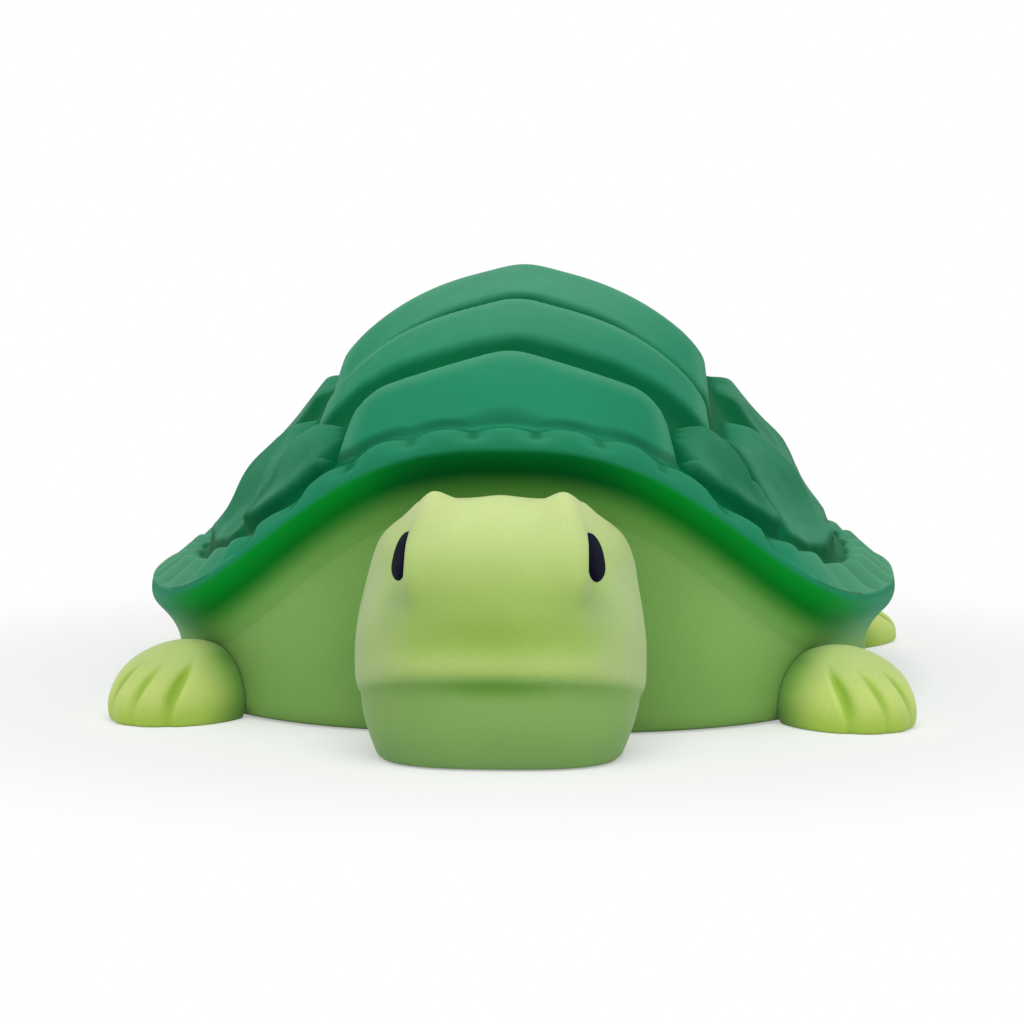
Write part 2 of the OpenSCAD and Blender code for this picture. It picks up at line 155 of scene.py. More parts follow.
# Share at which their ring begins at the sides, and what is added in front and over the head
ring_share, ring_share_front, ring_share_middle = 0.87, 0.107, 0.01
marginal_depth = 0.7
marginal_depth_run = 2.5
marginal_shoulder = 3.2
marginal_pillow = 1.6
pillow_in_front, pillow_at_edge = 0.3, 0.75
# Part of their length, at the rim, over which the seams between them fade out
marginal_seam_end = 0.35
scallop = 0.006
scallop_sides, scallop_front = 0.5, 1.5
# The shell is steep in front, where a share of the plan is a longer way over the surface
front_stretch = 2.4

# Dark lines, partly the darker green sprayed into the seams and partly painted shade in the grooves and on
# flanks turned from the light: how far from an edge they are full, and where they end
middle_front_line = (2.0, 7.0)
side_front_line = (2.4, 8.0)
rear_line = (0.4, 1.6)
above_ring_line = (0.8, 4.5)
below_ring_line = (0.3, 1.2)
marginal_line = (0.4, 1.5)
marginal_line_strength = 0.4
# Strength of the lines along the ring of marginals, at the sides and over the head
above_ring_strength = (1, 0.12)
below_ring_strength = (0.9, 0.5)
# Painted shade over the side scutes, deeper on the first one's outer flank
side_shade, flank_shade = 0.34, 0.5

# Pale crests, a painted highlight along raised edges: their width on the scutes, and the marginals' strength,
# place below their ring and width
crest_w = 1.3
marginal_crest, marginal_crest_at, marginal_crest_w = 0.3, 1.8, 1.2

# Body
body_half = np.array([body_high[0] - body_low[0], 2 * (body_high[1] - shell_mid_y)]) / 2
belly_t = core_low[2]
belly_round = 2.2
# Share of its height that the core keeps when the shell is pressed
core_keep = 1 - press_travel / (core_high[2] - belly_t)

# Head: height, front, slanting side, side and back of its outline
head_rows = [
    (0.0, 11.7, 14.5, 14.9, 7.0), (0.5, 12.1, 14.9, 15.4, 8.0), (2.0, 12.2, 15.3, 16.0, 8.0),
    (5.0, 12.2, 15.8, 16.8, 8.0), (8.0, 12.1, 16.0, 17.2, 8.0), (10.9, 11.8, 16.2, 17.5, 8.0),
    (11.3, 12.0, 16.3, 17.7, 8.0), (11.5, 12.75, 16.4, 17.8, 8.0), (12.3, 13.0, 16.5, 18.0, 8.0),
    (13.5, 12.85, 16.5, 18.1, 8.0), (15.5, 12.1, 16.2, 18.1, 8.0), (19.5, 11.5, 15.4, 17.7, 8.0),
    (23.0, 10.6, 14.2, 16.9, 8.0), (26.0, 9.3, 12.9, 15.9, 8.0), (28.2, 7.5, 11.5, 14.0, 7.8),
    (30.0, 5.4, 10.0, 12.0, 7.2), (31.2, 3.2, 8.4, 10.5, 6.4), (31.8, 0.5, 1.4, 1.8, 1.2),
]
head_front = 13.0
head_mid_y = head_low[1] + head_front
head_floor = head_low[2]
hinge = np.array(joints["head_nod"]["pos_m"]) / MM
mouth_z = 11.7
mouth_fall = 0.265
mouth_fall_run = 14
mouth_fall_h = 6.0

# Hollows and painted spots of the face, among them painted shade below the eye: place across and up, and half
# sizes
eye_socket = ((12.7, 25.6), (1.6, 4.0))
eye_bag = ((12.3, 20.6), (1.8, 1.8))
eye_shade = ((12.6, 20.0), (2.2, 2.2))
muzzle_spot = ((0, 16.4), (7.5, 2.6))

# Feet: place and heading in degrees, way out from the body, half length, half width and height
front_foot = dict(place=-38.7, out=5.1, size=(10.6, 8.3, 10.2), turn=-45, lean=-0.6, toes=(-49, -16, 14))
rear_foot = dict(place=36.4, out=4.1, size=(12.0, 7.8, 6.8), turn=40, lean=-2.0, toes=(-34, -4, 22))
# How far out the foot reaches at shares of its height
foot_profile = [(0.0, 0.55), (0.0, 0.93), (0.03, 0.965), (0.1, 0.99), (0.2, 1.0), (0.35, 0.98), (0.5, 0.925),
                (0.65, 0.83), (0.8, 0.66), (0.9, 0.47), (0.97, 0.25), (1.0, 0.01)]
# Toe grooves: strength, and width in degrees on the sharp side and on the soft side
inner_toe_groove = (1.5, 3.5, 9.0)
toe_groove = (1.0, 4.0, 7.0)
toe_groove_depth = 0.066
toe_twist, toe_twist_power = 34.0, 2.2


def clamp(value):
    return np.clip(value, 0.0, 1.0)


def ease(start, end, value):
    """Smooth step from 0 at start to 1 at end."""
    t = clamp((value - start) / (end - start))
    return t * t * (3 - 2 * t)


def mix(a, b, t):
    return a + (b - a) * t


def bump(distance, width):
    return np.exp(-((distance / width) ** 2))


def spot(across, up, place, size):
    """A round bump at a place on the face."""
    return bump(across - place[0], size[0]) * bump(up - place[1], size[1])


def smooth_rows(rows, count):
    """Samples a smooth curve through the rows, evenly along its length."""
    rows = np.array(rows, float)
    steps = np.linalg.norm(np.diff(rows, axis=0), axis=1)
    along = np.concatenate([[0], np.cumsum(steps)])
    slopes = np.gradient(rows, along, axis=0)
    secants = np.diff(rows, axis=0) / steps[:, None]
    # Flat where the curve turns back, so that no row overshoots its neighbours
    turns_back = np.zeros_like(slopes, bool)
    turns_back[1:-1] = secants[1:] * secants[:-1] <= 0
    slopes[turns_back] = 0
    after, before = np.vstack([secants, secants[-1:]]), np.vstack([secants[:1], secants])
    limit = 3 * np.minimum(np.abs(after), np.abs(before))
    slopes = np.clip(slopes, -limit, limit)
    at = np.linspace(0, along[-1], count)
    k = np.clip(np.searchsorted(along, at, "right") - 1, 0, len(steps) - 1)
    h = steps[k][:, None]
    t = ((at - along[k]) / steps[k])[:, None]
    return (rows[k] * (2 * t**3 - 3 * t**2 + 1) + rows[k + 1] * (3 * t**2 - 2 * t**3)
            + slopes[k] * h * (t**3 - 2 * t**2 + t) + slopes[k + 1] * h * (t**3 - t**2))


def loft(name, rings, paint=None):
    """A closed mesh through rings, shaped (rows, points, 3), with a fan at each end.

    paint gives named point values, each shaped (rows, points).
    """
    rows, points = rings.shape[:2]
    ends = np.array([rings[0].mean(0), rings[-1].mean(0)])
    verts = np.concatenate([rings.reshape(-1, 3), ends]) * MM
    index = np.arange(rows * points).reshape(rows, points)
    following = np.roll(index, -1, axis=1)
    quads = np.stack([index[:-1], following[:-1], following[1:], index[1:]], -1).reshape(-1, 4)
    first, last = rows * points, rows * points + 1
    fans = [(first, b, a) for a, b in zip(index[0].tolist(), following[0].tolist())]
    fans += [(last, a, b) for a, b in zip(index[-1].tolist(), following[-1].tolist())]
    mesh = bpy.data.meshes.new(name)
    mesh.from_pydata(verts.tolist(), [], quads.tolist() + fans)
    for key, values in (paint or {}).items():
        attribute = mesh.attributes.new(key, "FLOAT", "POINT")
        full = np.concatenate([values.ravel(), [values[0].mean(), values[-1].mean()]])
        attribute.data.foreach_set("value", full.astype(np.float32))
    working = bmesh.new()
    working.from_mesh(mesh)
    bmesh.ops.recalc_face_normals(working, faces=working.faces)
    working.to_mesh(mesh)
    working.free()
    mesh.shade_smooth()
    piece = bpy.data.objects.new(name, mesh)
    bpy.context.collection.objects.link(piece)
    return piece


# Plan and heights shared by the shell, the body and the core


def full_turn(count):
    return np.linspace(-np.pi / 2, 1.5 * np.pi, count, endpoint=False)


def plan_reach(turn):
    return (np.abs(np.cos(turn)) ** shell_power + np.abs(np.sin(turn)) ** shell_power) ** (-1 / shell_power)


def plan_point(turn, share, half_w, half_l):
    reach = share * plan_reach(turn)
    return half_w * reach * np.cos(turn), shell_mid_y + half_l * reach * np.sin(turn)


def flat_ring(turn, share, half_size, z):
    """A ring of the plan at a height, which may differ from point to point."""
    x, y = plan_point(turn, share, half_size[0], half_size[1])
    return np.stack([x, y, z * np.ones(len(turn))], -1)


def facing_front(turn):
    return np.where(np.sin(turn) < 0, np.abs(np.sin(turn)), 0.0)


def front_share(turn):
    return facing_front(turn) ** 2


def head_share(turn):
    """1 in the middle of the front, over the head, and 0 from a little to its sides."""
    return ease(0.8, 1, facing_front(turn))


def rear_share(turn):
    return np.where(np.sin(turn) > 0, np.sin(turn) ** 2, 0.0)


def rim_height(turn):
    """Height of the rim's upper edge, which arches over the head and a little over the tail."""
    side = np.minimum(np.abs(np.cos(turn)) * plan_reach(turn), 1)
    rise = np.where(np.sin(turn) < 0, arch_front_z - rim_side_z, arch_rear_rise)
    return rim_side_z + rise * (1 - side**arch_shoulder) ** arch_roundness


def dome(turn, share, low, top):
    """Smooth dome from a low edge to a top: steep over the head, flared like a bell at the sides."""
    front, rear = ease(dome_front_from, 1, facing_front(turn)), rear_share(turn)
    power, steep = (side + in_front * front + behind * rear
                    for side, in_front, behind in (bell_power, bell_steepness))
    along = share * plan_reach(turn) * np.sin(turn)
    lean = dome_lean * along * (1 - share**2)
    return low + (top - low) * np.maximum(0, 1 - share**power) ** steep + lean


def dome_height(turn, share):
    """Outside of the shell without its scutes."""
    return dome(turn, share, rim_height(turn), shell_top)


def inner_height(turn, share):
    """Inside of the shell, which the body's shoulder and the core follow at their gaps."""
    return dome(turn, share, rim_height(turn) - rim_t, shell_top - shell_wall)


def inner_ring(turn, share, drop, inset):
    x, y = plan_point(turn, share, shell_half[0] - lip_w - inset, shell_half[1] - lip_w - inset)
    return np.stack([x, y, inner_height(turn, share) - drop], -1)


# Shell


def side_scute_starts():
    """Places along the middle, and how far aside the side scutes begin there.

    They begin beside each middle scute, and further out where the next one's wide front comes.
    """
    flare_run = 2.6
    fronts = middle_half_ws + middle_tapers * np.diff(middle_seams)
    next_fronts = np.append(fronts[1:], 0)
    starts = []
    for seam, half_w, taper, next_front in zip(middle_seams[1:], middle_half_ws, middle_tapers, next_fronts):
        starts += [(seam - flare_run, half_w + taper * flare_run), (seam, max(half_w, next_front))]
    return np.transpose(starts)


def plate_index(seams, value):
    return np.clip(np.searchsorted(seams, value) - 1, 0, len(seams) - 2)


def marginal_share(turn):
    """Share of the plan where the ring of marginals begins."""
    front = facing_front(turn)
    return ring_share + ring_share_front * ease(0.55, 0.87, front) + ring_share_middle * front**8


def line_paint(distance, full, width):
    """1 as far as full from a line, and 0 from a width away."""
    return ease(width, full, np.maximum(0, distance))


def round_corner(first, second, radius):
    """Distance into a scute from two of its edges, with the corner between them rounded."""
    return radius - np.hypot(np.maximum(0, radius - first), np.maximum(0, radius - second))


def seam_place(x, y):
    """Place along the middle, at which the wavy seams of the middle scutes are straight."""
    aside = np.minimum(np.abs(x), seam_wave_length)
    return y + seam_wave * np.sin(np.pi * aside / seam_wave_length) ** 2


def middle_scutes(x, place, to_ring, above_ring):
    """Pad, top, dark line with its painted shade, and painted highlight on the crests of the scutes along the
    middle, and the distance to their sides.
    """
    k = plate_index(middle_seams, place)
    front, rear = place - middle_seams[k], middle_seams[k + 1] - place
    to_side = middle_half_ws[k] + middle_tapers[k] * rear - np.abs(x)
    along = clamp(front / (front + rear))
    edge = round_corner(rear, to_side, plate_corner)
    pad = ease(0, front_shoulders[k], front) * ease(0, rear_shoulder, edge) * ease(0, side_shoulder, to_ring)
    top = plate_rise * along**plate_rise_power + keel_rise * bump(x, keel_w) * mix(keel_start, 1, along)
    # The first scute's front edge is the ring of marginals, so it has no seam there
    seam_line = np.where(k == 0, 0, line_paint(front, *middle_front_line))
    line = np.maximum.reduce([seam_line, line_paint(edge, *rear_line), above_ring])
    return (pad, top, line, bump(edge - rear_shoulder, crest_w)), to_side


def side_ridges(wide, y, k):
    """Ridges on the side scutes, and the outer flank of the first one, which lies in shade."""
    ridge, flank = np.zeros_like(wide), np.zeros_like(wide)
    for number, (start, knob, power) in enumerate(costal_ridges):
        run = np.subtract(knob, start)
        from_x, from_y = wide - start[0], y - start[1]
        along = clamp((from_x * run[0] + from_y * run[1]) / (run @ run))
        off = np.hypot(from_x - along * run[0], from_y - along * run[1])
        ridge = np.where(k == number, bump(off, costal_ridge_w) * along**power, ridge)
        if number == 0:
            outside = (from_x * run[1] - from_y * run[0]) / np.hypot(*run)
            flank = np.where(k == 0, ease(0.0, first_flank_w, outside), 0)
    return ridge, flank


def side_scutes(x, y, place, to_ring, above_ring):
    """Pad, top, dark line with its painted shade, and painted highlight on the crests and ridges of the
    scutes on the sides, parted by seams that fan out.
    """
    wide = np.abs(x)
    far, angle = np.hypot(x, y), np.arctan2(y, wide)
    k = plate_index(costal_seams, angle)
    front = far * np.sin(np.minimum(angle - costal_seams[k], np.pi / 2))
    rear = far * np.sin(np.minimum(costal_seams[k + 1] - angle, np.pi / 2))
    along = clamp(front / (front + rear + TINY))
    below_middle = wide - np.interp(place, *side_scute_starts())
    edge = round_corner(round_corner(rear, below_middle, plate_corner), to_ring, costal_low_corner)
    pad = ease(0, front_shoulders[k], front) * ease(0, rear_shoulder, edge)
    ridge, flank = side_ridges(wide, y, k)
    hollow = 1 - low_hollow * bump(to_ring - low_hollow_at, low_hollow_w)
    top = plate_rise * along**plate_rise_power * hollow + costal_rise * ridge
    line = np.maximum.reduce([line_paint(front, *side_front_line), line_paint(edge, *rear_line),
                              above_ring, mix(side_shade, flank_shade, flank)])
    return pad, top, line, np.maximum(bump(edge - rear_shoulder, crest_w), ridge**2)


def marginals(turn, share, ring, to_ring, number_part):
    """Pad, top, dark line with its painted shade, and painted highlight of the ring of marginals around the
    rim.
    """
    to_seam = (0.5 - np.abs(number_part - 0.5)) * marginal_step * shell_half[0]
    edge_fade = ease(0, marginal_seam_end, (1 - share) / (1 - ring))
    seam_pad = 1 - edge_fade * (1 - ease(0, marginal_shoulder, to_seam))
    pad = ease(0, 0.6 * marginal_shoulder, -to_ring) * seam_pad
    top = (marginal_pillow * mix(1, pillow_in_front, ease(0.3, 0.8, facing_front(turn)))
           * mix(1, pillow_at_edge, ease(0.93, 1, share)))
    below_ring = line_paint(-to_ring, *below_ring_line) * mix(*below_ring_strength, head_share(turn))
    seam_line = marginal_line_strength * edge_fade * line_paint(to_seam, *marginal_line)
    crest_highlight = marginal_crest * bump(-to_ring - marginal_crest_at, marginal_crest_w)
    return pad, top, np.maximum(below_ring, seam_line), crest_highlight


def scutes(turn, share):
    """Relief of the scutes in millimetres, and how strongly the dark seam paint with its painted shade, and
    the painted highlight on the crests, cover each point.
    """
    x, y = plan_point(turn, share, shell_half[0], shell_half[1])
    # The ring begins with an arc at each marginal
    number_part = np.mod((turn + np.pi / 2) / marginal_step + 0.5, 1)
    arc = 1 - (2 * number_part - 1) ** 2
    arc_height = scallop * mix(scallop_sides, scallop_front, ease(0.8, 0.95, facing_front(turn)))
    ring = marginal_share(turn) - arc_height * arc
    to_ring = (ring - share) * (shell_half[0] * plan_reach(turn) * (1 + front_stretch * front_share(turn)))
    above_ring = line_paint(to_ring, *above_ring_line) * mix(*above_ring_strength, head_share(turn))
    place = seam_place(x, y)
    middle, to_side = middle_scutes(x, place, to_ring, above_ring)
    side = side_scutes(x, y, place, to_ring, above_ring)
    rim = marginals(turn, share, ring, to_ring, number_part)
    pad, top, line, crest_highlight = (np.where(to_ring < 0, on_rim, np.where(to_side > 0, on_middle, on_side))
                             for on_rim, on_middle, on_side in zip(rim, middle, side))
    depth = mix(groove_depth, marginal_depth, ease(marginal_depth_run, 0, to_ring))
    return (pad - 1) * depth + pad * top, line, crest_highlight


def make_shell():
    """The scuted dome, its rounded rim, the soft underside that runs out on the body, and the inside."""
    rows, first_share, row_spread = 150, 0.006, 1.5
    turn = full_turn(wall_columns)
    share = 1 - (1 - np.linspace(first_share, 1, rows)) ** row_spread
    turns, shares = np.meshgrid(turn, share)
    x, y = plan_point(turns, shares, shell_half[0], shell_half[1])
    smooth = np.stack([x, y, dome_height(turns, shares)], -1)
    around = (np.roll(smooth, -1, axis=1) - np.roll(smooth, 1, axis=1)) / 2
    outward = np.cross(np.gradient(smooth, axis=0), around)
    outward /= np.linalg.norm(outward, axis=2, keepdims=True)
    relief, groove, crest_highlight = scutes(turns, shares)
    outer = smooth + relief[..., None] * outward
    rings, grooves, drops = list(outer), list(groove), list(np.zeros_like(groove))

    def add_ring(half_size, drop, relief=0, hollow=0):
        rings.append(flat_ring(turn, 1, half_size, rim_height(turn) - drop) + relief)
        grooves.append(hollow * np.ones(wall_columns))
        drops.append(drop * np.ones(wall_columns))

    # Rounded edge of the rim
    edge_rows = 9
    rim_relief = outer[-1] - smooth[-1]
    for a in np.linspace(0, 1, edge_rows + 1)[1:]:
        left = (1 - a) ** 2
        half_size = shell_half[:2] + 0.5 * rim_edge_round * np.sin(np.pi * a) - rim_edge_round * a**2
        add_ring(half_size, rim_edge_t * a, rim_relief * left, groove[-1] * left)

    # Underside: a curve that ends along the wall, with rows close to its end that keep its shading smooth
    cove_rows, end_rows = 12, (0.99, 0.998, 1)
    rim_half, wall_half = shell_half[:2] - rim_edge_round, body_half + skin_gap
    bend_drop = mix(rim_edge_t, skirt_drop, 0.5)
    for t in (*np.linspace(0, 1, cove_rows + 1)[1:-1], *end_rows):
        start, bend, end = (1 - t) ** 2, 2 * t * (1 - t), t * t
        half_size = start * rim_half + (bend + end) * (wall_half + skirt_tip_t)
        add_ring(half_size, start * rim_edge_t + bend * bend_drop + end * skirt_drop)
    add_ring(wall_half + skirt_tip_t, skirt_drop + skirt_tip_t)
    add_ring(wall_half, skirt_drop + skirt_tip_t)
    add_ring(wall_half, rim_t)

    for inner_share in (1, 0.97, 0.9, 0.8, 0.68, 0.55, 0.4, 0.25, 0.1):
        rings.append(inner_ring(turn, inner_share, 0, 0))
        grooves.append(np.zeros(wall_columns))
        drops.append(skirt_drop * np.ones(wall_columns))
    rings = np.array(rings)
    front = np.repeat(facing_front(turn)[None], len(rings), 0)
    # Painted highlight on the crests, and painted sheen on the flare towards the sides
    crests, flare_sheen = np.zeros(front.shape), np.zeros(front.shape)
    crests[:rows] = crest_highlight
    flare_sheen[:rows] = ease(0.78, 0.93, shares) * ease(0.75, 0.5, facing_front(turns))
    paint = {"groove": np.array(grooves), "crest_highlight": crests, "flare_sheen": flare_sheen, "below_rim": np.array(drops),
             "facing": front, "height": rings[..., 2]}
    return loft("turtle_shell", rings, paint)


# Body and core


def make_body():
    """A tub with a flat belly, a shoulder under the pressed shell and a hollow for the core."""
    turn = full_turn(wall_columns)
    pressed_lip_z = rim_height(turn) - rim_t - press_gap
    belly_insets, round_rows, wall_rows = (40, 25, 12, 5), 7, 22
    edge_inset, edge_drop = 0.25, 0.6
    shoulder_end, hollow_share = 0.88, 0.78
    rings = [flat_ring(turn, 1, body_half - inset, 0) for inset in belly_insets]
    for a in np.linspace(0, np.pi / 2, round_rows):
        inset, rise = belly_round * (1 - np.sin(a)), belly_round * (1 - np.cos(a))
        rings.append(flat_ring(turn, 1, body_half - inset, rise))
    for t in np.linspace(0, 1, wall_rows)[1:]:
        rings.append(flat_ring(turn, 1, body_half, mix(belly_round, pressed_lip_z - 2 * edge_drop, t)))
    rings.append(flat_ring(turn, 1, body_half - edge_inset, pressed_lip_z - edge_drop))
    for share, drop in ((0.995, 0.1), (0.98, 0), (0.96, 0), (0.92, 0), (shoulder_end, 0)):
        rings.append(inner_ring(turn, share, press_gap + drop, run_gap))
    hollow_half = hollow_share * (shell_half[:2] - lip_w)
    hollow_top = inner_height(turn, shoulder_end) - press_gap
    rings.append(flat_ring(turn, 1, hollow_half, hollow_top))
    for share, rise in ((0.95, 6), (0.95, 3), (0.87, 0), (0.4, 0)):
        rings.append(flat_ring(turn, share, hollow_half, belly_t + rise))
    rings = np.array(rings)
    front = np.repeat(facing_front(turn)[None], len(rings), 0)
    below = rim_height(turn)[None] - rings[..., 2]
    return loft("turtle_body", rings, {"below_rim": below, "facing": front, "height": rings[..., 2]})


def make_core():
    """Foam that fills the tub up to the shell. Squashed, it keeps its gap to the sunk shell."""
    turn = full_turn(160)
    core_gap = 0.35
    half_size = shell_half[:2] - lip_w
    wall_share = 0.72
    # Shares with how far each ring lies above the belly, and then below the roof
    low_rows = ((0.3, 0), (0.6, 0), (0.66, 0.5), (0.7, 1.6), (wall_share, 3))
    roof_rows = ((wall_share, 1.0), (0.715, 0), (0.69, 0), (0.6, 0), (0.5, 0), (0.4, 0), (0.3, 0),
                 (0.2, 0), (0.1, 0))
    rings = [flat_ring(turn, share, half_size, belly_t + rise) for share, rise in low_rows]
    for share, drop in roof_rows:
        pressed_h = inner_height(turn, share) - press_travel - core_gap - belly_t
        rings.append(flat_ring(turn, share, half_size, belly_t + pressed_h / core_keep - drop))
    return loft("turtle_foam_core", np.array(rings))


# Head


def head_outline(turn, row):
    """Distance from the head's upright axis: rounded low down, with flat slanting sides at the eyes."""
    height, front, slant, side, back = (row[..., k, None] for k in range(5))
    ahead, aside = np.maximum(-np.sin(turn), 0), np.abs(np.cos(turn))
    behind = np.maximum(np.sin(turn), 0)
    round_power, flat_power = 2.7, 11.0
    rounded = ((ahead / front) ** round_power + (aside / side) ** round_power
               + (behind / back) ** round_power) ** (-1 / round_power)
    slant_turn = np.radians(60)
    slanting = np.maximum(0, (ahead - behind) * np.cos(slant_turn) + aside * np.sin(slant_turn))
    flat = ((ahead / front) ** flat_power + (slanting / slant) ** flat_power + (aside / side) ** flat_power
            + (behind / back) ** flat_power) ** (-1 / flat_power)
    return mix(rounded, flat, ease(15, 24, height))


def head_neck(turn, heights):
    """Distance out to the neck, which runs from the head's back into the body's front."""
    half_w, half_h, rounding = 14.5, 11.0, 3
    inside_head, into_body = 6.0, 1.7
    lift = np.clip(np.abs(heights - hinge[2]) / half_h, 0, 1)[:, None]
    round_off = (1 - lift**rounding) ** (1 / rounding)
    end = mix(inside_head, shell_mid_y - body_half[1] + into_body - head_mid_y, round_off)
    across = half_w * round_off + TINY
    behind = np.maximum(np.sin(turn), TINY)[None]
    neck = np.minimum(across / np.maximum(np.abs(np.cos(turn))[None], TINY), end / behind)
    return np.where(np.sin(turn)[None] > 0.02, neck, 0)


def face_folds(wide, z):
    """How far the face stands out: brow ridges that run down beside the eyes, and hollows around those."""
    ridge_h, fold_h = 1.15, 0.4
    channel_deep, socket_deep, bag_deep = 0.45, 1.25, 0.75
    ridge_x = np.interp(z, (20, 28, 29.5, 31), (10.5, 10.3, 9.8, 8.8))
    inner_w, outer_w = 2.3, mix(2.2, 0.95, ease(19.5, 24, z))
    ridge = ridge_h * bump(wide - ridge_x, np.where(wide < ridge_x, inner_w, outer_w)) * ease(18.5, 24.0, z)
    channel = -channel_deep * bump(wide - 5.2, 2.0) * ease(22, 28, z)
    socket = -socket_deep * spot(wide, z, *eye_socket)
    fold_x = np.interp(z, (22, 26, 29.5), (15.4, 14.7, 12.2))
    outer_fold = fold_h * bump(wide - fold_x, 1.1) * bump(z - 27.0, 3.0)
    bag = -bag_deep * spot(wide, z, *eye_bag)
    return ridge + channel + socket + outer_fold + bag


def crown_rise(wide, back):
    """Brows on the crown, a slightly raised middle between them and a fall towards the neck."""
    brow_h, brow_x, brow_y, brow_l = 1.95, 8.3, -3.0, 3.6
    inner_w, outer_w = 2.7, 3.6
    middle_h, neck_fall, fall_from = 0.5, 0.2, 2.5
    brow_w = np.where(wide < brow_x, inner_w, outer_w)
    brow = brow_h * bump(wide - brow_x, brow_w) * bump(back - brow_y, brow_l)
    middle = middle_h * bump(wide, 3.0) * bump(back - 0.5, 4.0)
    plateau = middle - neck_fall * np.maximum(0, back - fall_from)
    return brow + plateau


def make_head():
    """The head with its folded face, and the neck that runs from it into the body."""
    columns, rows, join_power = 320, 210, 10
    profile = smooth_rows(head_rows, rows)
    heights = profile[:, 0]
    turn = full_turn(columns)
    outline, neck = head_outline(turn, profile), head_neck(turn, heights)
    reach = (outline**join_power + neck**join_power) ** (1 / join_power)
    x = reach * np.cos(turn)
    y = head_mid_y + reach * np.sin(turn)

    # The mouth line falls towards the sides
    fall = mouth_fall * np.clip(y - head_low[1], 0, mouth_fall_run)
    z = heights[:, None] - fall * bump(heights - mouth_z, mouth_fall_h)[:, None]

    in_front = ease(0.2, 0.6, -np.sin(turn))[None]
    push = face_folds(np.abs(x), z) * in_front
    x = x + push * np.cos(turn)
    y = y + push * np.sin(turn)
    wide = np.abs(x)
    top = z + crown_rise(wide, y - head_mid_y) * ease(27, 31, z)
    rings = np.stack([x, y, top + head_floor], -1)

    # Pale paint with painted sheen on the crown, a painted highlight along the lip, painted shadow in the
    # crease under the lip's middle, and painted shade below the eyes
    level = z + fall
    lip_middle = (0.45 * bump(wide, 13.0) + 0.55 * bump(wide, 5.5)) * in_front
    pale = ease(20, 33, top) + 0.35 * bump(level - 13.2, 1.2)
    paint = {"crown": clamp(pale), "chin": ease(12.2, 10.8, level), "height": rings[..., 2],
             "crease": bump(level - 10.4, 1.3) * lip_middle, "cheek": ease(9, 16, wide) * ease(29, 22, z),
             "muzzle": spot(wide, z, *muzzle_spot) * in_front,
             "under_eye_shade": spot(wide, z, *eye_shade) * in_front}
    return loft("turtle_head", rings, paint)


def make_eye(name, side):
    """An oval set into the slanting side of the face, its top leaning in towards the brow."""
    columns, rows = 56, 24
    half_w, half_h, half_deep, square = 2.4, 3.45, 0.9, 2.3
    look_up, last_tilt, fullness = 0.3, 0.48, 0.8
    eye_at = sum(node_box(name)) / 2
    facing, lean = np.radians(64) * side, np.radians(-10) * side
    out = np.array([np.sin(facing), -np.cos(facing), look_up])
    out /= np.linalg.norm(out)
    up = np.array([-np.sin(lean), 0, np.cos(lean)])
    up -= out * (up @ out)
    up /= np.linalg.norm(up)
    along = np.cross(up, out)
    turn = full_turn(columns)
    rings = []
    for tilt in np.linspace(-last_tilt, last_tilt, rows) * np.pi:
        size = np.cos(tilt) ** fullness
        a = half_w * size * np.sign(np.cos(turn)) * np.abs(np.cos(turn)) ** (2 / square)
        b = half_h * size * np.sign(np.sin(turn)) * np.abs(np.sin(turn)) ** (2 / square)
        rings.append(eye_at + np.outer(a, along) + np.outer(b, up) + half_deep * np.sin(tilt) * out)
    return loft(name.replace("eye", "eye_oval"), np.array(rings))


# Feet and tail


def keep_off_body(rings):
    """Sets points that lie inside the body's wall or the soft underside of the rim back outside them."""
    wall_gap, skirt_flare = 0.2, 0.07
    x, y, z = rings[..., 0], rings[..., 1] - shell_mid_y, rings[..., 2]
    turn = np.arctan2(y / body_half[1], x / body_half[0])
    over_skirt = np.maximum(0, z - rim_height(turn) + skirt_drop)
    clear = wall_gap + skirt_flare * over_skirt**2
    half_w, half_l = body_half[0] + clear, body_half[1] + clear
    share = ((np.abs(x) / half_w) ** shell_power + (np.abs(y) / half_l) ** shell_power) ** (1 / shell_power)
    push = np.maximum(1, 1 / np.maximum(share, TINY))
    return np.stack([x * push, y * push + shell_mid_y, z], -1)


def toe_cut(degrees, at, groove):
    strength, sharp_w, soft_w = groove
    return strength * bump(degrees - at, np.where(degrees < at, sharp_w, soft_w))


